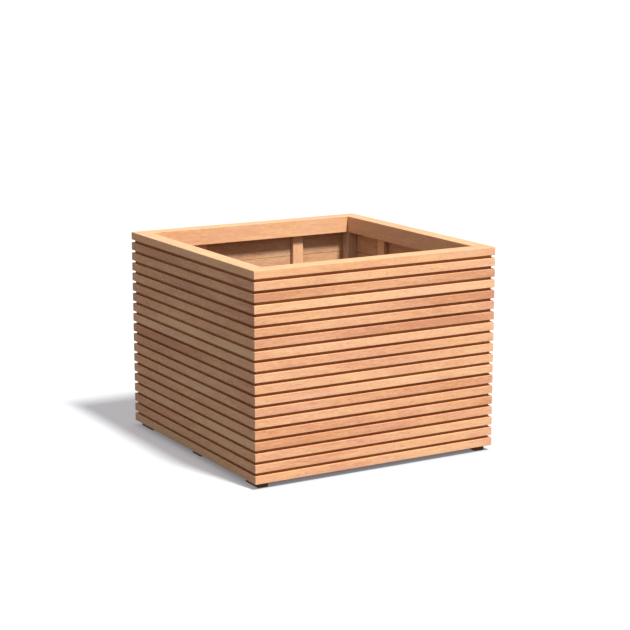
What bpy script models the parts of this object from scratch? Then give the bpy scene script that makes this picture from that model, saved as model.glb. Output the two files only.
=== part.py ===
"""Square hardwood planter box: ribbed tongue-and-groove wall boards on corner posts and battens,
a mitred rim, a slatted floor on three bearers, and six low foot pads.

Metres, +Z up. The origin is on the ground, under the middle of the box.
Every wall part is modelled once, as part of the back wall, and turned about Z for the other walls.
"""

import math

import bmesh
import bpy

# Driving dimensions of the box
OUTER_WIDTH = 1.000
BASE_HEIGHT = 0.020
GAP = 0.0003

# Wall board: three ribs and three grooves to a board, with a tongue on top and a groove below
BOARD_THICKNESS = 0.020
RIB_HEIGHT = 0.030
GROOVE_HEIGHT = 0.010
GROOVE_DEPTH = 0.010
RIBS_PER_BOARD = 3
BOARDS_PER_WALL = 6
TONGUE_HEIGHT = 0.006
TONGUE_THICKNESS = 0.004
TONGUE_INSET = 0.003
TONGUE_CLEARANCE = 0.0004
JOINT_BEVEL = 0.0015
RIB_EDGE_RADIUS = 0.0015

# Mitred rim timber, rebated below to sit over the top boards
RIM_WIDTH = 0.060
RIM_DEPTH = 0.066
RIM_LIP = RIB_HEIGHT
RIM_EDGE_RADIUS = 0.002

# Frame inside the walls
POST_WIDTH_X = 0.040
POST_WIDTH_Y = 0.045
BATTEN_WIDTH = 0.047
BATTEN_THICKNESS = 0.018
BATTEN_OFFSET = 0.218
BEARER_WIDTH = 0.045
BEARER_DEPTH = 0.045
FRAME_EDGE_RADIUS = 0.002

# Floor
FLOOR_BOARDS = 9
FLOOR_BOARD_WIDTH = 0.100
FLOOR_BOARD_THICKNESS = 0.020
FLOOR_CLEARANCE = 0.0006
NOTCH_CLEARANCE = 0.0015

# Foot pads
PAD_LENGTH_X = 0.040
MIDDLE_PAD_LENGTH_Y = 0.060
PAD_EDGE_RADIUS = 0.002

EDGE_SEGMENTS = 2

# Worked out from the driving dimensions
RIB_PITCH = RIB_HEIGHT + GROOVE_HEIGHT
BOARD_COVER = RIBS_PER_BOARD * RIB_PITCH
INNER_HALF = OUTER_WIDTH / 2 - BOARD_THICKNESS
WALL_TOP = BASE_HEIGHT + BOARDS_PER_WALL * BOARD_COVER
TOTAL_HEIGHT = WALL_TOP + RIM_LIP
RIM_UNDERSIDE = TOTAL_HEIGHT - RIM_DEPTH
FRAME_FACE = INNER_HALF - GAP
FRAME_TOP = RIM_UNDERSIDE - GAP
BEARER_FACE_Y = FRAME_FACE - POST_WIDTH_Y - GAP
FLOOR_UNDERSIDE = BASE_HEIGHT + BEARER_DEPTH + GAP
FLOOR_HALF_X = FRAME_FACE - FLOOR_CLEARANCE
FLOOR_HALF_Y = FRAME_FACE - BATTEN_THICKNESS - FLOOR_CLEARANCE
CORNER_PAD_LENGTH_Y = POST_WIDTH_Y + GAP + BEARER_WIDTH

# Wall name and the turn about Z, in degrees, that carries the back wall to it
WALLS = {"back": 0, "left": 90, "front": 180, "right": 270}

# Timber and pad finishes: colour, roughness
FINISHES = {
    "wall_timber": ((0.62, 0.35, 0.21), 0.50),
    "rim_timber": ((0.66, 0.38, 0.23), 0.45),
    "frame_timber": ((0.58, 0.34, 0.21), 0.55),
    "floor_timber": ((0.13, 0.08, 0.055), 0.70),
    "foot_rubber": ((0.085, 0.045, 0.026), 0.80),
}


def clear_scene():
    for old in list(bpy.data.objects):
        bpy.data.objects.remove(old, do_unlink=True)


def make_material(name):
    colour, roughness = FINISHES[name]
    material = bpy.data.materials.new(name)
    material.use_nodes = True
    shader = material.node_tree.nodes["Principled BSDF"]
    shader.inputs["Base Color"].default_value = (*colour, 1.0)
    shader.inputs["Roughness"].default_value = roughness
    shader.inputs["Metallic"].default_value = 0.0
    material.diffuse_color = (*colour, 1.0)
    return material


def finish_mesh(bm, name, material):
    """Turns the working mesh into mesh data with its faces out and its rounded edges smooth."""
    bmesh.ops.recalc_face_normals(bm, faces=bm.faces)
    mesh = bpy.data.meshes.new(name)
    bm.to_mesh(mesh)
    bm.free()
    mesh.materials.append(material)
    mesh.shade_smooth()
    mesh.set_sharp_from_angle(angle=math.radians(50))
    return mesh


def place(name, mesh, location=(0.0, 0.0, 0.0), turn=0.0):
    obj = bpy.data.objects.new(name, mesh)
    obj.location = location
    obj.rotation_euler = (0.0, 0.0, math.radians(turn))
    bpy.context.scene.collection.objects.link(obj)
    return obj


def extruded_section(outline, half_length):
    """A straight bar along X whose section is the outline of (y, z) corners."""
    bm = bmesh.new()
    corners = [bm.verts.new((-half_length, y, z)) for y, z in outline]
    section = bm.faces.new(corners)
    swept = bmesh.ops.extrude_face_region(bm, geom=[section])
    far_end = [item for item in swept["geom"] if isinstance(item, bmesh.types.BMVert)]
    bmesh.ops.translate(bm, verts=far_end, vec=(2 * half_length, 0.0, 0.0))
    return bm


def round_long_edges(bm, radius, wanted):
    """Rounds the edges along X for whose (y, z) the test wanted holds."""
    long_edges = []
    for edge in bm.edges:
        start, end = (vert.co for vert in edge.verts)
        along_x = abs(start.x - end.x) > abs(start.y - end.y) + abs(start.z - end.z)
        if along_x and wanted(start.y, start.z):
            long_edges.append(edge)
    bmesh.ops.bevel(bm, geom=long_edges, offset=radius, segments=EDGE_SEGMENTS, profile=0.5, affect="EDGES")


def mitre_ends(bm):
    """Slants both ends at 45 degrees: a point's end moves out by its distance beyond the wall's inner face."""
    for vert in bm.verts:
        vert.co.x += math.copysign(1.0, vert.co.x) * vert.co.y


def wall_board_outline():
    """Section of a wall board: y is 0 at the inner face and runs outward, z is 0 at the underside.
    Two boards meet in a V joint on the inner face."""
    top = BOARD_COVER - GAP
    web = BOARD_THICKNESS - GROOVE_DEPTH
    tongue_in, tongue_out = TONGUE_INSET, TONGUE_INSET + TONGUE_THICKNESS
    slot_in, slot_out = tongue_in - TONGUE_CLEARANCE, tongue_out + TONGUE_CLEARANCE
    slot_top = TONGUE_HEIGHT + TONGUE_CLEARANCE
    outline = [(0.0, JOINT_BEVEL), (0.0, top - JOINT_BEVEL), (JOINT_BEVEL, top)]
    outline += [(tongue_in, top), (tongue_in, top + TONGUE_HEIGHT)]
    outline += [(tongue_out, top + TONGUE_HEIGHT), (tongue_out, top), (web, top)]
    for rib in reversed(range(RIBS_PER_BOARD)):
        rib_bottom = rib * RIB_PITCH
        rib_top = rib_bottom + RIB_HEIGHT
        outline += [(web, rib_top), (BOARD_THICKNESS, rib_top), (BOARD_THICKNESS, rib_bottom)]
        if rib > 0:
            outline.append((web, rib_bottom))
    outline += [(slot_out, 0.0), (slot_out, slot_top), (slot_in, slot_top), (slot_in, 0.0)]
    outline.append((JOINT_BEVEL, 0.0))
    return outline


def wall_board_mesh(material):
    bm = extruded_section(wall_board_outline(), INNER_HALF - GAP)
    rib_face = BOARD_THICKNESS - GAP
    round_long_edges(bm, RIB_EDGE_RADIUS, lambda y, z: y > rib_face)
    mitre_ends(bm)
    return finish_mesh(bm, "wall_board", material)


def rim_outline():
    """Section of a rim timber: y as for a wall board, z is 0 at the rim's top face."""
    inner = BOARD_THICKNESS - RIM_WIDTH
    rebate = -GAP
    slot_in = TONGUE_INSET - TONGUE_CLEARANCE
    slot_out = TONGUE_INSET + TONGUE_THICKNESS + TONGUE_CLEARANCE
    slot_top = TONGUE_HEIGHT + TONGUE_CLEARANCE - RIM_LIP
    return [
        (inner, 0.0),
        (BOARD_THICKNESS, 0.0),
        (BOARD_THICKNESS, -RIM_LIP),
        (slot_out, -RIM_LIP),
        (slot_out, slot_top),
        (slot_in, slot_top),
        (slot_in, -RIM_LIP),
        (rebate, -RIM_LIP),
        (rebate, -RIM_DEPTH),
        (inner, -RIM_DEPTH),
    ]


def rim_mesh(material):
    bm = extruded_section(rim_outline(), INNER_HALF - GAP)
    outer_face = BOARD_THICKNESS - GAP
    inner_face = BOARD_THICKNESS - RIM_WIDTH + GAP
    round_long_edges(bm, RIM_EDGE_RADIUS, lambda y, z: y > outer_face or y < inner_face)
    mitre_ends(bm)
    return finish_mesh(bm, "rim_timber", material)


def block_mesh(name, size, edge_radius, material):
    """A squared timber or pad with its four longest edges eased. It stands on its own z = 0."""
    bm = bmesh.new()
    bmesh.ops.create_cube(bm, size=1.0)
    bmesh.ops.scale(bm, verts=bm.verts, vec=size)
    bmesh.ops.translate(bm, verts=bm.verts, vec=(0.0, 0.0, size[2] / 2))
    longest = max(size)
    long_edges = [edge for edge in bm.edges if edge.calc_length() > longest - GAP]
    bmesh.ops.bevel(
        bm, geom=long_edges, offset=edge_radius, segments=EDGE_SEGMENTS, profile=0.5, affect="EDGES"
    )
    return finish_mesh(bm, name, material)


def notched_board_mesh(material):
    """The outermost floor board, with its outer edge at +X against the side wall. That edge is notched
    round the two corner posts and the two battens of the wall."""
    half_x = FLOOR_BOARD_WIDTH / 2
    board_centre_x = FLOOR_HALF_X - half_x
    post_notch_x = FRAME_FACE - POST_WIDTH_X - NOTCH_CLEARANCE - board_centre_x
    post_notch_y = FRAME_FACE - POST_WIDTH_Y - NOTCH_CLEARANCE
    batten_notch_x = FRAME_FACE - BATTEN_THICKNESS - NOTCH_CLEARANCE - board_centre_x
    notch_near_y = BATTEN_OFFSET - BATTEN_WIDTH / 2 - NOTCH_CLEARANCE
    notch_far_y = BATTEN_OFFSET + BATTEN_WIDTH / 2 + NOTCH_CLEARANCE
    back_half = [
        (half_x, notch_near_y),
        (batten_notch_x, notch_near_y),
        (batten_notch_x, notch_far_y),
        (half_x, notch_far_y),
        (half_x, post_notch_y),
        (post_notch_x, post_notch_y),
        (post_notch_x, FLOOR_HALF_Y),
        (-half_x, FLOOR_HALF_Y),
    ]
    plan = back_half + [(x, -y) for x, y in reversed(back_half)]
    bm = bmesh.new()
    underside = bm.faces.new([bm.verts.new((x, y, 0.0)) for x, y in plan])
    raised = bmesh.ops.extrude_face_region(bm, geom=[underside])
    top = [item for item in raised["geom"] if isinstance(item, bmesh.types.BMVert)]
    bmesh.ops.translate(bm, verts=top, vec=(0.0, 0.0, FLOOR_BOARD_THICKNESS))
    return finish_mesh(bm, "floor_board_notched", material)


def outward(turn, distance):
    """The point at a distance from the middle of the box, straight out through the wall of that turn."""
    angle = math.radians(turn)
    return -math.sin(angle) * distance, math.cos(angle) * distance


def build_walls(material):
    board = wall_board_mesh(material)
    for wall, turn in WALLS.items():
        x, y = outward(turn, INNER_HALF)
        for level in range(BOARDS_PER_WALL):
            height = BASE_HEIGHT + level * BOARD_COVER
            place(f"{wall}_wall_board_{level + 1}", board, (x, y, height), turn)


def build_rim(material):
    timber = rim_mesh(material)
    for wall, turn in WALLS.items():
        x, y = outward(turn, INNER_HALF)
        place(f"rim_{wall}", timber, (x, y, TOTAL_HEIGHT), turn)


def build_posts(material):
    size = (POST_WIDTH_X, POST_WIDTH_Y, FRAME_TOP - BASE_HEIGHT)
    post = block_mesh("corner_post", size, FRAME_EDGE_RADIUS, material)
    x = FRAME_FACE - POST_WIDTH_X / 2
    y = FRAME_FACE - POST_WIDTH_Y / 2
    for front_or_back, side_y in (("front", -1), ("back", 1)):
        for left_or_right, side_x in (("left", -1), ("right", 1)):
            name = f"corner_post_{front_or_back}_{left_or_right}"
            place(name, post, (side_x * x, side_y * y, BASE_HEIGHT))


def build_battens(material):
    size = (BATTEN_WIDTH, BATTEN_THICKNESS, FRAME_TOP - BASE_HEIGHT)
    batten = block_mesh("batten", size, FRAME_EDGE_RADIUS, material)
    from_middle = FRAME_FACE - BATTEN_THICKNESS / 2
    for wall, turn in WALLS.items():
        x, y = outward(turn, from_middle)
        for number, offset in enumerate((-BATTEN_OFFSET, BATTEN_OFFSET), start=1):
            along = math.radians(turn)
            spot = (x + offset * math.cos(along), y + offset * math.sin(along), BASE_HEIGHT)
            place(f"{wall}_batten_{number}", batten, spot, turn)


def build_floor(bearer_material, board_material):
    bearer_size = (2 * FRAME_FACE, BEARER_WIDTH, BEARER_DEPTH)
    bearer = block_mesh("floor_bearer", bearer_size, FRAME_EDGE_RADIUS, bearer_material)
    outer_bearer_y = BEARER_FACE_Y - BEARER_WIDTH / 2
    for position, y in (("front", -outer_bearer_y), ("middle", 0.0), ("back", outer_bearer_y)):
        place(f"floor_bearer_{position}", bearer, (0.0, y, BASE_HEIGHT))
    board_size = (FLOOR_BOARD_WIDTH, 2 * FLOOR_HALF_Y, FLOOR_BOARD_THICKNESS)
    plain_board = block_mesh("floor_board", board_size, FRAME_EDGE_RADIUS, board_material)
    notched_board = notched_board_mesh(board_material)
    first_x = FLOOR_BOARD_WIDTH / 2 - FLOOR_HALF_X
    step = -2 * first_x / (FLOOR_BOARDS - 1)
    for index in range(FLOOR_BOARDS):
        name = f"floor_board_{index + 1}"
        spot = (first_x + index * step, 0.0, FLOOR_UNDERSIDE)
        if index == 0:
            place(name, notched_board, spot, turn=180)
        elif index == FLOOR_BOARDS - 1:
            place(name, notched_board, spot)
        else:
            place(name, plain_board, spot)


def build_feet(material):
    pad_height = BASE_HEIGHT - GAP
    corner_size = (PAD_LENGTH_X, CORNER_PAD_LENGTH_Y, pad_height)
    middle_size = (PAD_LENGTH_X, MIDDLE_PAD_LENGTH_Y, pad_height)
    corner_pad = block_mesh("corner_pad", corner_size, PAD_EDGE_RADIUS, material)
    middle_pad = block_mesh("middle_pad", middle_size, PAD_EDGE_RADIUS, material)
    x = FRAME_FACE - PAD_LENGTH_X / 2
    corner_y = FRAME_FACE - CORNER_PAD_LENGTH_Y / 2
    rows = (("front", -corner_y, corner_pad), ("middle", 0.0, middle_pad), ("back", corner_y, corner_pad))
    for position, y, pad in rows:
        for left_or_right, side_x in (("left", -1), ("right", 1)):
            place(f"foot_pad_{position}_{left_or_right}", pad, (side_x * x, y, 0.0))


clear_scene()
materials = {finish: make_material(finish) for finish in FINISHES}
build_walls(materials["wall_timber"])
build_rim(materials["rim_timber"])
build_posts(materials["frame_timber"])
build_battens(materials["frame_timber"])
build_floor(materials["frame_timber"], materials["floor_timber"])
build_feet(materials["foot_rubber"])
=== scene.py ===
"""A square hardwood planter box, ribbed outside, on pale paving under a high sun."""

import math
import random

import bmesh
import bpy
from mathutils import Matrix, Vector


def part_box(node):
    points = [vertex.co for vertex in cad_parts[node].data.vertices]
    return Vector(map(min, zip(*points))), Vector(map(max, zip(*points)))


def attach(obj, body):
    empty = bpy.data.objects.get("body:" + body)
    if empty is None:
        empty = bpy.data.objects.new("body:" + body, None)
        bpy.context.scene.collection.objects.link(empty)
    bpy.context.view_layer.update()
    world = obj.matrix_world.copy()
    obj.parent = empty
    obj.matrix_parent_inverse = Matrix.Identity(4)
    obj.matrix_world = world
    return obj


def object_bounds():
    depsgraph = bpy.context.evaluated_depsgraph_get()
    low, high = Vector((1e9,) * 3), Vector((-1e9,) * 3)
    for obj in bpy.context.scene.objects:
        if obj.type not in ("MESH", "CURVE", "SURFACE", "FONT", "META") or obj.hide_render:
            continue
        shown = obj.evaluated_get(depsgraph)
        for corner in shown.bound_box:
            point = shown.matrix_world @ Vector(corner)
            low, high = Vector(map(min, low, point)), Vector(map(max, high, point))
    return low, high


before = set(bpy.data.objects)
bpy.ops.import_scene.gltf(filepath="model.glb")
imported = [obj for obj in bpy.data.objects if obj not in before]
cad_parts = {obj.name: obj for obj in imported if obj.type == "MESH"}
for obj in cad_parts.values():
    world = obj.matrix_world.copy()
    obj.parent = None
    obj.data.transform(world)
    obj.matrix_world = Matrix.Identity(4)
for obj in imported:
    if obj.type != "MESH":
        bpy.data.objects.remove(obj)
cad_low, cad_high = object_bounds()


# Wall boards
# Oiled light hardwood, planed into three ribs and three grooves, six boards to a wall.
# They are tongued and grooved into each other, mitred at the corners and screwed on from inside.

WALLS = ("front", "back", "left", "right")
WALL_GRAIN = {"front": "X", "back": "X", "left": "Y", "right": "Y"}
WALL_FIGURE = {"front": 1.0, "back": 1.1, "left": 1.3, "right": 1.1}
BOARDS_PER_WALL = 6
RIBS_PER_BOARD = 3
RIBS_ON_A_WALL = BOARDS_PER_WALL * RIBS_PER_BOARD
RIB_PITCH = 0.040
RIB_HEIGHT = 0.030
BOARD_COVER = RIBS_PER_BOARD * RIB_PITCH
GROOVE_DEPTH = 0.010
OUTER_FACE = cad_high.y
BASE_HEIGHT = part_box("front_wall_board_1")[0].z

# Ripe, middling and pale wood, and what oil makes of it; painted shade in the grooves and on the rim's top,
# painted highlight on the edges, and dark joints.
HARDWOOD = ((0.485, 0.225, 0.140), (0.606, 0.332, 0.212), (0.680, 0.432, 0.284))
NATURAL = (1.0, 1.0, 1.0)
STRAW_TINT = (1.015, 1.02, 0.955)
ROSE_TINT = (0.985, 0.98, 1.045)
# Painted shade for the grooves, which also darkens the joints on the inner side.
GROOVE_SHADE_AND_JOINT_TINT = (0.69, 0.48, 0.27)
UNOILED_TINT = (0.88, 0.96, 0.94)
# Painted shade that dims the top face.
TOP_SHADE_TINT = (0.93, 0.90, 0.88)
# Painted highlight along the edges.
EDGE_HIGHLIGHT = (0.66, 0.45, 0.30)
DARK_GRAIN = 0.45
OIL_SHEEN = 0.32

# The marks of planed timber: how many lie in a metre along and across the grain, how far they slant,
# how finely they break up, and where in the log each kind starts.
PATCHES = dict(lengthwise=8.0, crosswise=40.0, start=3.1, slant=1.6, detail=6.0, breakup=0.74)
DRIFT = dict(lengthwise=1.9, crosswise=6.0, start=17.3)
BANDS = dict(lengthwise=8.0, crosswise=90.0, start=41.9, slant=0.5, detail=2.0)
STREAKS = dict(lengthwise=40.0, crosswise=210.0, start=57.1, slant=0.6, detail=3.0, breakup=0.65)
FIBRES = dict(lengthwise=60.0, crosswise=1900.0, start=5.9)
FLECKS = dict(lengthwise=70.0, crosswise=260.0, start=91.3, slant=0.8)
BLUSH = dict(lengthwise=5.0, crosswise=26.0, start=73.7, slant=1.0, detail=2.0)
LOG_STRIDE = 31.7
RIB_STRIDE = 3.71

# How much each mark pales or darkens the wood, stands up or lies hollow, and dulls it.
MIDDLE = 0.5
PATCH_TONE = 1.15
DRIFT_TONE = 1.1
BAND_TONE = 0.5
STREAK_TONE = 1.3
FLECK_DARKNESS = 0.55
PORE_DARKNESS = 0.10
FIBRE_RELIEF = 0.5
STREAK_RELIEF = 0.4
PATCH_RELIEF = 0.1
PORE_HOLLOW = 0.4
FLECK_HOLLOW = 0.3
GRAIN_STRENGTH = 0.25
GRAIN_HEIGHT = 0.0006
STREAK_DULLING = 0.2
PATCH_DULLING = 0.12
PORE_DULLING = 0.1
# How strong the painted highlight is at the corners and along the ribs' edges.
ARRIS_HIGHLIGHT = 0.3
LONG_EDGE_HIGHLIGHT = 0.4

# Each fade runs from nothing at its first number to full at its second. Those of places are in metres.
FLECK_FADE = (0.69, 0.78)
PORE_FADE = (0.58, 0.72)
BLUSH_FADE = (0.32, 0.68)
BEHIND_GROOVES = (GROOVE_DEPTH + 0.0005, GROOVE_DEPTH + 0.002)
# Painted shade in the grooves fades in this far behind the face.
SHADE_IN_GROOVE = (0.0003, 0.0028)
# Painted shade on the top face fades in just below it.
TOP_SHADE_FADE = (cad_high.z - 0.003, cad_high.z - 0.0005)
# The painted highlight along the ribs' edges and at the corners fades out over these.
OFF_THE_EDGE = (0.001, 0.0032)
AT_THE_CORNER = (-0.003, -0.001)
BELOW_THE_EDGE = (0.0008, 0.0025)
OFF_THE_JOINT = (0.0008, 0.002)
INNER_SIDE = (0.0175, 0.018)

# Ribs differ in tone, because the boards come from many logs. The left wall's ribs are paler towards the
# ground.
TONE_SPREAD = 0.30
PALER_NEAR_GROUND = {"front": 0.0, "back": 0.0, "left": 0.24, "right": 0.0}
BOARD_PALENESS = 0.5
BOARD_VARIATION = 0.04
rib_draws = random.Random(12)
logs = random.Random(41)


class Strand:
    """One socket of a finish. Sums of strands and plain numbers add Math nodes to that finish."""

    def __init__(self, tree, socket):
        self.tree = tree
        self.socket = socket

    def node(self, kind, settings, inputs, output=0):
        """Adds any node: its settings go in first, then a value or a strand for each socket."""
        made = self.tree.nodes.new(kind)
        for setting, value in settings.items():
            if setting == "stops":
                set_stops(made.color_ramp, value)
            else:
                setattr(made, setting, value)
        for key, value in inputs.items():
            if isinstance(value, Strand):
                self.tree.links.new(value.socket, made.inputs[key])
            else:
                made.inputs[key].default_value = value
        return Strand(self.tree, made.outputs[output])

    def math(self, operation, *values):
        return self.node("ShaderNodeMath", {"operation": operation}, dict(enumerate(values)))

    def clamped(self):
        return self.node("ShaderNodeClamp", {}, {"Value": self})

    def axes(self):
        """A position's X, Y and Z."""
        x = self.node("ShaderNodeSeparateXYZ", {}, {"Vector": self})
        outputs = x.socket.node.outputs
        return x, Strand(self.tree, outputs["Y"]), Strand(self.tree, outputs["Z"])

    def noise(self, scale, detail=2.0, roughness=0.5):
        inputs = {"Vector": self, "Scale": scale, "Detail": detail, "Roughness": roughness}
        return self.node("ShaderNodeTexNoise", {"noise_dimensions": "3D"}, inputs)

    def between(self, low, high):
        """0 below low and 1 above high, with a smooth rise between them."""
        inputs = {"Value": self, "From Min": low, "From Max": high}
        return self.node("ShaderNodeMapRange", {"interpolation_type": "SMOOTHSTEP"}, inputs)

    def ramp(self, *stops, interpolation="LINEAR"):
        """stops are (position, colour)."""
        return self.node("ShaderNodeValToRGB", {"stops": (interpolation, stops)}, {"Fac": self})

    def tinted(self, factor, colour, blend="MIX"):
        """This colour with another laid over it, which is a strand or a red, green and blue."""
        if not isinstance(colour, Strand):
            colour = (*colour, 1.0)
        settings = {"data_type": "RGBA", "blend_type": blend, "clamp_factor": True}
        return self.node("ShaderNodeMix", settings, {0: factor, 6: self, 7: colour}, output=2)

    def __add__(self, other):
        return self.math("ADD", self, other)

    def __radd__(self, other):
        return self.math("ADD", other, self)

    def __sub__(self, other):
        return self.math("SUBTRACT", self, other)

    def __rsub__(self, other):
        return self.math("SUBTRACT", other, self)

    def __mul__(self, other):
        return self.math("MULTIPLY", self, other)

    def __rmul__(self, other):
        return self.math("MULTIPLY", other, self)

    def __truediv__(self, other):
        return self.math("DIVIDE", self, other)

    def __rtruediv__(self, other):
        return self.math("DIVIDE", other, self)


def set_stops(colour_ramp, interpolation_and_stops):
    colour_ramp.interpolation, stops = interpolation_and_stops
    while len(colour_ramp.elements) < len(stops):
        colour_ramp.elements.new(1.0)
    for element, (position, colour) in zip(colour_ramp.elements, stops):
        element.position = position
        element.color = (*colour, 1.0)


def new_place(tree):
    """The strand of positions on the box, in metres."""
    return Strand(tree, tree.nodes.new("ShaderNodeTexCoord").outputs["Object"])


def new_finish(name):
    """A material, its shader node, and the strand of positions on the box in metres."""
    material = bpy.data.materials.new(name)
    material.use_nodes = True
    tree = material.node_tree
    shader = tree.nodes["Principled BSDF"]
    return material, shader, new_place(tree)


def wire_up(shader, **strands):
    """Feeds each named socket of a shader. An underscore stands for the space in a socket's name."""
    for socket, strand in strands.items():
        strand.tree.links.new(strand.socket, shader.inputs[socket.replace("_", " ")])


def own_number(strand, name):
    """The number of this name that each piece carries as a property of its own."""
    settings = {"attribute_type": "OBJECT", "attribute_name": name}
    return strand.node("ShaderNodeAttribute", settings, {}, output="Fac")


def drawn_tones(ground_paling):
    """A tone for each rib of one wall from the ground up, 0 for ripe wood and 1 for pale."""
    tones = []
    for number in range(RIBS_ON_A_WALL):
        nearness_to_ground = 1 - 2 * number / (RIBS_ON_A_WALL - 1)
        draw = rib_draws.uniform(-TONE_SPREAD, TONE_SPREAD)
        tones.append(MIDDLE + ground_paling * nearness_to_ground + draw)
    return tones


def rib_tone(rib, tones):
    """The tone of the rib with this number, as a step of a ramp."""
    stops = []
    for number, tone in enumerate(tones):
        stops.append((number / len(tones), (tone, tone, tone)))
    middle_of_step = 0.5
    return ((rib + middle_of_step) / len(tones)).ramp(*stops, interpolation="CONSTANT")


def arris_highlight(along, height, depth):
    """1 at the corners of the box and less along each rib's edges, where a highlight is painted."""
    within = height.math("FRACT", (height - BASE_HEIGHT) / RIB_PITCH) * RIB_PITCH
    from_edge = height.math("MINIMUM", within, RIB_HEIGHT - within)
    long_edges = 1 - from_edge.between(*OFF_THE_EDGE)
    corner = (along.math("ABSOLUTE", along) - OUTER_FACE).between(*AT_THE_CORNER)
    highlit = height.math("MAXIMUM", long_edges * LONG_EDGE_HIGHLIGHT, corner)
    return highlit * (1 - depth.between(*BELOW_THE_EDGE))


def inner_joint(height, depth):
    """1 in the V joint that two boards make on the inner side."""
    board = (height - BASE_HEIGHT) / BOARD_COVER
    from_joint = height.math("ABSOLUTE", board - height.math("ROUND", board)) * BOARD_COVER
    return (1 - from_joint.between(*OFF_THE_JOINT)) * depth.between(*INNER_SIDE)


def planed_timber(name, grain_axis, stain, figure=1.0, rib_tones=None, roughness=0.46, painted_top_shade=False):
    """Planed hardwood with its grain along X, Y or Z. stain scales its red, green and blue."""
    material, shader, place = new_finish(name)
    x, y, z = place.axes()
    along, across, through = {"X": (x, z, y), "Y": (y, z, x), "Z": (z, x, y)}[grain_axis]
    log = own_number(place, "log")

    # Each rib of a wall has a figure and a tone of its own. The plain inner side shows the whole board's.
    shift = log * LOG_STRIDE
    tone = own_number(place, "paleness") - MIDDLE
    if rib_tones:
        depth = OUTER_FACE - through.math("ABSOLUTE", through)
        outside = 1 - depth.between(*BEHIND_GROOVES)
        rib = place.math("FLOOR", (z - BASE_HEIGHT) / RIB_PITCH)
        shift = shift + rib * outside * RIB_STRIDE
        tone = tone + (rib_tone(rib, rib_tones) - MIDDLE) * outside

    def marks(lengthwise, crosswise, start, slant=0.0, detail=1.0, breakup=0.5):
        """One kind of mark in this piece's own log, drawn out along the grain."""
        slanted = along + across * slant if slant else along
        inputs = {
            0: slanted * lengthwise + shift + start,
            1: across * crosswise + shift,
            2: through * crosswise - start,
        }
        return place.node("ShaderNodeCombineXYZ", {}, inputs).noise(1.0, detail, breakup)

    patches = marks(**PATCHES)
    drift = marks(**DRIFT)
    bands = marks(**BANDS)
    streaks = marks(**STREAKS)
    fibres = marks(**FIBRES)
    flecks = marks(**FLECKS).between(*FLECK_FADE)
    blush = marks(**BLUSH)
    pores = fibres.between(*PORE_FADE)

    tone = tone + MIDDLE + (patches - MIDDLE) * (PATCH_TONE * figure)
    tone = tone + (drift - MIDDLE) * (DRIFT_TONE * figure) + (bands - MIDDLE) * (BAND_TONE * figure)
    tone = tone + (streaks - MIDDLE) * (STREAK_TONE * figure)
    stained = []
    for natural in HARDWOOD:
        stained.append([channel * part for channel, part in zip(natural, stain)])
    ripe, middling, pale = stained
    colour = tone.clamped().ramp((0.0, ripe), (MIDDLE, middling), (1.0, pale))
    tint = blush.between(*BLUSH_FADE).ramp((0.0, STRAW_TINT), (1.0, ROSE_TINT))
    colour = colour.tinted(figure, tint, blend="MULTIPLY")
    dark_grain = [channel * DARK_GRAIN for channel in ripe]
    colour = colour.tinted(flecks * FLECK_DARKNESS + pores * PORE_DARKNESS, dark_grain)
    # Painted shade on the top face.
    if painted_top_shade:
        colour = colour.tinted(z.between(*TOP_SHADE_FADE), TOP_SHADE_TINT, blend="MULTIPLY")
    if rib_tones:
        # Painted highlight along the ribs' edges and at the box's corners.
        colour = colour.tinted(arris_highlight(along, z, depth) * ARRIS_HIGHLIGHT, EDGE_HIGHLIGHT)
        # Painted shade in the grooves, from just behind the face.
        groove_shade = depth.between(*SHADE_IN_GROOVE) * outside
        colour = colour.tinted(groove_shade, GROOVE_SHADE_AND_JOINT_TINT, blend="MULTIPLY")
        colour = colour.tinted(1 - outside, UNOILED_TINT, blend="MULTIPLY")
        colour = colour.tinted(inner_joint(z, depth), GROOVE_SHADE_AND_JOINT_TINT, blend="MULTIPLY")

    relief = fibres * FIBRE_RELIEF + streaks * STREAK_RELIEF + patches * PATCH_RELIEF
    relief = relief - pores * PORE_HOLLOW - flecks * FLECK_HOLLOW
    bump_inputs = {"Height": relief, "Strength": GRAIN_STRENGTH, "Distance": GRAIN_HEIGHT}
    bump = place.node("ShaderNodeBump", {}, bump_inputs)
    dullness = roughness + (streaks - MIDDLE) * STREAK_DULLING + (patches - MIDDLE) * PATCH_DULLING
    dullness = dullness + pores * PORE_DULLING
    wire_up(shader, Base_Color=colour, Roughness=dullness, Normal=bump)
    shader.inputs["Specular IOR Level"].default_value = OIL_SHEEN
    return material


def cut_from_a_log(piece, paleness, variation):
    """Gives a piece its own place in the log and its own paleness, which planed_timber reads."""
    piece["log"] = logs.uniform(0.0, 1.0)
    piece["paleness"] = paleness + logs.uniform(-variation, variation)


def give_finish(piece, material):
    piece.data.materials.clear()
    piece.data.materials.append(material)


for wall in WALLS:
    tones = drawn_tones(PALER_NEAR_GROUND[wall])
    timber = planed_timber(
        f"{wall}_wall_timber", WALL_GRAIN[wall], NATURAL, WALL_FIGURE[wall], rib_tones=tones
    )
    for level in range(1, BOARDS_PER_WALL + 1):
        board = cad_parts[f"{wall}_wall_board_{level}"]
        cut_from_a_log(board, BOARD_PALENESS, BOARD_VARIATION)
        give_finish(board, timber)


# Rim
# Four heavier timbers of paler stock, mitred at the corners and rebated below to cap the top boards.
# They lie on the posts and battens and are fixed up through them.

RIM_STAIN = (1.04, 1.06, 1.02)
RIM_FIGURE = 0.8
RIM_ROUGHNESS = 0.42
RIM_PALENESS = 0.56
RIM_VARIATION = 0.04

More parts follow.
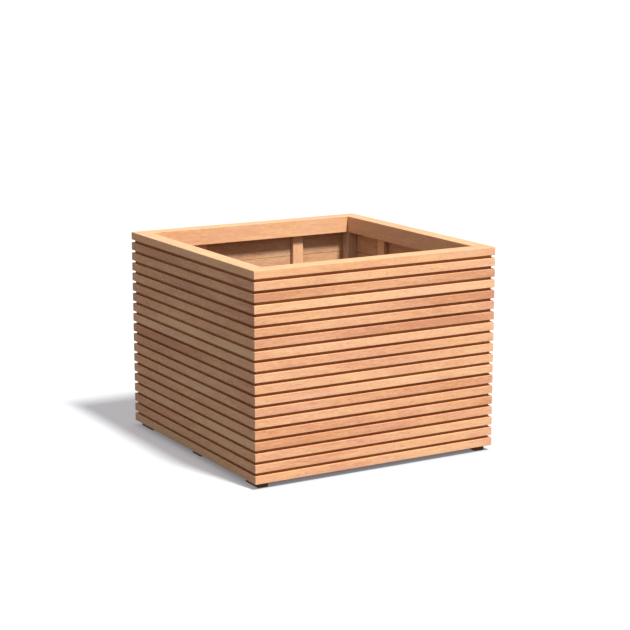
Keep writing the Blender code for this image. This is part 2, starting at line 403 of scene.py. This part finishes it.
# Their top faces carry painted shade.
for wall in WALLS:
    timber = planed_timber(
        f"rim_{wall}_timber",
        WALL_GRAIN[wall],
        RIM_STAIN,
        figure=RIM_FIGURE,
        roughness=RIM_ROUGHNESS,
        painted_top_shade=True,
    )
    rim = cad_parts[f"rim_{wall}"]
    cut_from_a_log(rim, RIM_PALENESS, RIM_VARIATION)
    give_finish(rim, timber)


# Posts and battens
# Planed posts stand in the four corners, and two flat battens stand against each wall.
# The wall boards are screwed to them, so they hold the walls together. The posts are of greyer stock.

PALE_STOCK = (1.06, 1.10, 1.10)
GREY_STOCK = (0.92, 1.12, 1.26)
UPRIGHT_FIGURE = 0.8
BATTEN_ROUGHNESS = 0.52
POST_ROUGHNESS = 0.58
UPRIGHT_PALENESS = 0.75
UPRIGHT_VARIATION = 0.1
batten_timber = planed_timber("batten_timber", "Z", PALE_STOCK, UPRIGHT_FIGURE, roughness=BATTEN_ROUGHNESS)
post_timber = planed_timber("post_timber", "Z", GREY_STOCK, UPRIGHT_FIGURE, roughness=POST_ROUGHNESS)
uprights = sorted(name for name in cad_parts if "post" in name or "batten" in name)

for name in uprights:
    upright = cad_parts[name]
    cut_from_a_log(upright, UPRIGHT_PALENESS, UPRIGHT_VARIATION)
    give_finish(upright, post_timber if "post" in name else batten_timber)


# Floor
# Nine boards of brown stained timber with drainage gaps lie across three plain bearers.
# The outer two are notched round the posts and battens. They are screwed down twice at each bearer.

BROWN_STAIN = (0.20, 0.22, 0.24)
BEARER_ROUGHNESS = 0.55
FLOOR_ROUGHNESS = 0.62
FLOOR_PALENESS = 0.5
FLOOR_VARIATION = 0.2
bearer_timber = planed_timber("bearer_timber", "X", NATURAL, roughness=BEARER_ROUGHNESS)
floor_timber = planed_timber("floor_timber", "Y", BROWN_STAIN, roughness=FLOOR_ROUGHNESS)

for name in sorted(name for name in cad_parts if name.startswith("floor_")):
    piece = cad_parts[name]
    cut_from_a_log(piece, FLOOR_PALENESS, FLOOR_VARIATION)
    give_finish(piece, bearer_timber if "bearer" in name else floor_timber)


# Plugs
# The posts and battens are screwed to every wall board from inside the box.
# A turned plug of the same timber hides each screw. It stands a hair proud, with a small chamfer.

TURNED_SIDES = 24
CLEARANCE = 0.0001
SHARP_EDGE = math.radians(40)
PLUG_RINGS = ((0.0048, 0.0, 0.0), (0.0048, 0.0003, 0.0), (0.0043, 0.0007, 0.0))
PLUG_HEIGHT_IN_BOARD = 0.45
POST_STAGGER = 0.018
PLUG_PALENESS = 0.6
PLUG_VARIATION = 0.1
turns = random.Random(7)


def add_turned(bm, rings, spot, outward, lobes=0):
    """A small round part that sits at spot and faces outward. rings are (radius, height, depth of lobes)."""
    stand = outward.to_track_quat("Z", "Y").to_matrix()
    start = turns.uniform(0.0, math.tau)
    loops = []
    for radius, height, lobe in rings:
        loop = []
        for side in range(TURNED_SIDES):
            angle = side * math.tau / TURNED_SIDES
            reach = radius + lobe * math.cos(lobes * angle)
            angle += start
            point = Vector((reach * math.cos(angle), reach * math.sin(angle), height + CLEARANCE))
            loop.append(bm.verts.new(spot + stand @ point))
        loops.append(loop)
    for lower, upper in zip(loops, loops[1:]):
        for side in range(TURNED_SIDES):
            after = (side + 1) % TURNED_SIDES
            bm.faces.new((lower[side], lower[after], upper[after], upper[side]))
    bm.faces.new(loops[-1])
    bm.faces.new(reversed(loops[0]))


def turned_group(name, rings, places, material, lobes=0):
    """One piece with a turned part for each (spot, outward) of places."""
    bm = bmesh.new()
    for spot, outward in places:
        add_turned(bm, rings, spot, outward, lobes)
    mesh = bpy.data.meshes.new(name)
    bm.to_mesh(mesh)
    bm.free()
    mesh.materials.append(material)
    mesh.shade_smooth()
    mesh.set_sharp_from_angle(angle=SHARP_EDGE)
    group = bpy.data.objects.new(name, mesh)
    bpy.context.scene.collection.objects.link(group)
    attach(group, "root")
    return group


def inner_faces(name):
    """The inner faces of a post or batten, each as a direction and the shift that staggers its plugs."""
    low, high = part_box(name)
    middle = (low + high) / 2
    sideways = Vector((-math.copysign(1.0, middle.x), 0.0, 0.0))
    lengthwise = Vector((0.0, -math.copysign(1.0, middle.y), 0.0))
    if "post" in name:
        return (sideways, -POST_STAGGER), (lengthwise, POST_STAGGER)
    if name.startswith(("front", "back")):
        return ((lengthwise, 0.0),)
    return ((sideways, 0.0),)


for name in uprights:
    low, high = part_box(name)
    middle = (low + high) / 2
    half = (high - low) / 2
    places = []
    for level in range(BOARDS_PER_WALL):
        height = BASE_HEIGHT + (level + PLUG_HEIGHT_IN_BOARD) * BOARD_COVER
        for outward, shift in inner_faces(name):
            spot = Vector((middle.x + outward.x * half.x, middle.y + outward.y * half.y, height + shift))
            places.append((spot, outward))
    timber = post_timber if "post" in name else batten_timber
    plugs = turned_group(f"plugs_{name}", PLUG_RINGS, places, timber)
    cut_from_a_log(plugs, PLUG_PALENESS, PLUG_VARIATION)


# Floor screws
# Stainless wafer-head screws with a six-lobed drive, a little tarnished.
# Each floor board is held by two of them at each of the three bearers.

SCREW_RINGS = (
    (0.0045, 0.0, 0.0),
    (0.0045, 0.0005, 0.0),
    (0.0039, 0.0011, 0.0),
    (0.0029, 0.0014, 0.0),
    (0.0020, 0.00145, 0.00028),
    (0.0018, 0.0005, 0.00028),
)
DRIVE_LOBES = 6
SCREW_INSET = 0.022
SCUFFS_PER_METRE = 2600.0
TARNISH_PER_METRE = 240.0
TARNISHED_STEEL = (0.46, 0.44, 0.41)
CLEAN_STEEL = (0.62, 0.60, 0.57)
STEEL_ROUGHNESS = 0.28
SCUFF_DULLING = 0.2

stainless, steel_shader, steel_place = new_finish("stainless")
scuffs = steel_place.noise(SCUFFS_PER_METRE)
tarnish = steel_place.noise(TARNISH_PER_METRE)
steel_colour = tarnish.ramp((0.3, TARNISHED_STEEL), (0.7, CLEAN_STEEL))
wire_up(steel_shader, Base_Color=steel_colour, Roughness=STEEL_ROUGHNESS + scuffs * SCUFF_DULLING)
steel_shader.inputs["Metallic"].default_value = 1.0

bearer_lines = []
for position in ("front", "middle", "back"):
    low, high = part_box(f"floor_bearer_{position}")
    bearer_lines.append((low.y + high.y) / 2)

for name in sorted(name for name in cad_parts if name.startswith("floor_board_")):
    low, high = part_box(name)
    places = []
    for line in bearer_lines:
        for x in (low.x + SCREW_INSET, high.x - SCREW_INSET):
            places.append((Vector((x, line, high.z)), Vector((0.0, 0.0, 1.0))))
    turned_group(f"screws_{name}", SCREW_RINGS, places, stainless, DRIVE_LOBES)


# Foot pads
# Blocks moulded from dark brown rubber crumb, dusty where they have worn.
# They are screwed up under the posts and bearer ends, to keep the timber off the ground.

CRUMBS_PER_METRE = 900.0
WEAR_PER_METRE = 38.0
FRESH_RUBBER = (0.115, 0.045, 0.018)
DUSTY_RUBBER = (0.215, 0.088, 0.036)
CRUMB_STRENGTH = 0.4
CRUMB_HEIGHT = 0.0008
RUBBER_ROUGHNESS = 0.75
CRUMB_DULLING = 0.2

rubber, rubber_shader, rubber_place = new_finish("foot_rubber")
crumb = rubber_place.noise(CRUMBS_PER_METRE)
wear = rubber_place.noise(WEAR_PER_METRE, detail=3.0)
rubber_colour = (crumb * 0.5 + wear * 0.5).ramp((0.3, FRESH_RUBBER), (0.7, DUSTY_RUBBER))
crumb_inputs = {"Height": crumb, "Strength": CRUMB_STRENGTH, "Distance": CRUMB_HEIGHT}
rubber_bump = rubber_place.node("ShaderNodeBump", {}, crumb_inputs)
rubber_dullness = RUBBER_ROUGHNESS + crumb * CRUMB_DULLING
wire_up(rubber_shader, Base_Color=rubber_colour, Roughness=rubber_dullness, Normal=rubber_bump)

for name in sorted(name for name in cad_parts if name.startswith("foot_pad_")):
    give_finish(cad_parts[name], rubber)


# Paving, sun and sky
# Pale paving that gives back only a little light, so that the shaded walls stay deep. The eye sees it
# as white, and darker where the box shelters it, with a painted glow that is dimmer under the box as painted
# shade.
# The sun is a softbox a kilometre off, taller than wide.

PAVING_SIZE = 400.0
PAVING_SEEN = (0.315, 0.357, 0.428, 1.0)
PAVING_LIT_BY = (0.137, 0.137, 0.137, 1.0)
GLOW_UNDER_BOX = (0.15, 0.14, 0.15)
GLOW_IN_THE_OPEN = (0.321, 0.295, 0.297)
EDGE_OF_SHELTER = (0.44, 0.54)
SUN_FROM = Vector((0.108, -0.50, 0.86)).normalized()
SUN_DISTANCE = 1000.0
SUN_WIDTH = 100.0
SUN_HEIGHT = 206.0
SUN_ON_BOX = 6.9
SUN_COLOUR = (1.0, 0.93, 0.785)
SKY_COLOUR = (1.0, 0.965, 0.875, 1.0)
SKY_STRENGTH = 0.523
WHITE = (1.0, 1.0, 1.0, 1.0)

bm = bmesh.new()
bmesh.ops.create_grid(bm, x_segments=1, y_segments=1, size=PAVING_SIZE / 2)
paving_mesh = bpy.data.meshes.new("paving")
bm.to_mesh(paving_mesh)
bm.free()
paving = bpy.data.objects.new("paving", paving_mesh)
bpy.context.scene.collection.objects.link(paving)
paving.location.z = cad_low.z

paving_finish = bpy.data.materials.new("paving_finish")
paving_finish.use_nodes = True
paving_tree = paving_finish.node_tree
paving_tree.nodes.clear()
seen = Strand(paving_tree, paving_tree.nodes.new("ShaderNodeLightPath").outputs["Is Camera Ray"])
bright = seen.node("ShaderNodeBsdfDiffuse", {}, {"Color": PAVING_SEEN})
paving_x, paving_y, _ = new_place(paving_tree).axes()
from_middle = seen.math("MAXIMUM", seen.math("ABSOLUTE", paving_x), seen.math("ABSOLUTE", paving_y))
# Painted glow on the paving, dimmer under the box as painted shade.
painted_glow = from_middle.between(*EDGE_OF_SHELTER).ramp((0.0, GLOW_UNDER_BOX), (1.0, GLOW_IN_THE_OPEN))
glow = seen.node("ShaderNodeEmission", {}, {"Color": painted_glow, "Strength": 1.0})
shown_paving = seen.node("ShaderNodeAddShader", {}, {0: bright, 1: glow})
dull = seen.node("ShaderNodeBsdfDiffuse", {}, {"Color": PAVING_LIT_BY})
paving_surface = seen.node("ShaderNodeMixShader", {}, {0: seen, 1: dull, 2: shown_paving})
paving_output = paving_tree.nodes.new("ShaderNodeOutputMaterial")
paving_tree.links.new(paving_surface.socket, paving_output.inputs["Surface"])
paving_mesh.materials.append(paving_finish)

sun_lamp = bpy.data.lights.new("sun", "AREA")
sun_lamp.shape = "ELLIPSE"
sun_lamp.size = SUN_WIDTH
sun_lamp.size_y = SUN_HEIGHT
sun_lamp.energy = SUN_ON_BOX * math.pi * SUN_DISTANCE ** 2
sun_lamp.color = SUN_COLOUR
sun = bpy.data.objects.new("sun", sun_lamp)
sun.location = SUN_FROM * SUN_DISTANCE
sun.rotation_euler = SUN_FROM.to_track_quat("Z", "Y").to_euler()
bpy.context.scene.collection.objects.link(sun)

sky = bpy.data.worlds.new("sky")
sky.use_nodes = True
bpy.context.scene.world = sky
sky_tree = sky.node_tree
sky_tree.nodes.clear()
sky_seen = Strand(sky_tree, sky_tree.nodes.new("ShaderNodeLightPath").outputs["Is Camera Ray"])
sky_light = sky_seen.node("ShaderNodeBackground", {}, {"Color": SKY_COLOUR, "Strength": SKY_STRENGTH})
sky_white = sky_seen.node("ShaderNodeBackground", {}, {"Color": WHITE, "Strength": 1.0})
sky_mix = sky_seen.node("ShaderNodeMixShader", {}, {0: sky_seen, 1: sky_light, 2: sky_white})
sky_output = sky_tree.nodes.new("ShaderNodeOutputWorld")
sky_tree.links.new(sky_mix.socket, sky_output.inputs["Surface"])


# Camera
# It stands to the front left of the box, with a long lens, and looks a little down on it.
# Its aim is a little to the right of the middle of the box.

VIEW_AZIMUTH = math.radians(-30.205)
VIEW_ELEVATION = math.radians(11.588)
VIEW_DISTANCE = 6.46
AIM = Vector((0.031, 0.004, 0.4753))
SENSOR_WIDTH = 36.0
LENS = 97.1

camera_data = bpy.data.cameras.new("camera")
camera_data.sensor_width = SENSOR_WIDTH
camera_data.lens = LENS
camera = bpy.data.objects.new("camera", camera_data)
bpy.context.scene.collection.objects.link(camera)
back = Vector((
    math.sin(VIEW_AZIMUTH) * math.cos(VIEW_ELEVATION),
    -math.cos(VIEW_AZIMUTH) * math.cos(VIEW_ELEVATION),
    math.sin(VIEW_ELEVATION),
))
camera.location = AIM + back * VIEW_DISTANCE
camera.rotation_euler = back.to_track_quat("Z", "Y").to_euler()
bpy.context.scene.camera = camera
bpy.context.scene.view_settings.view_transform = "Standard"
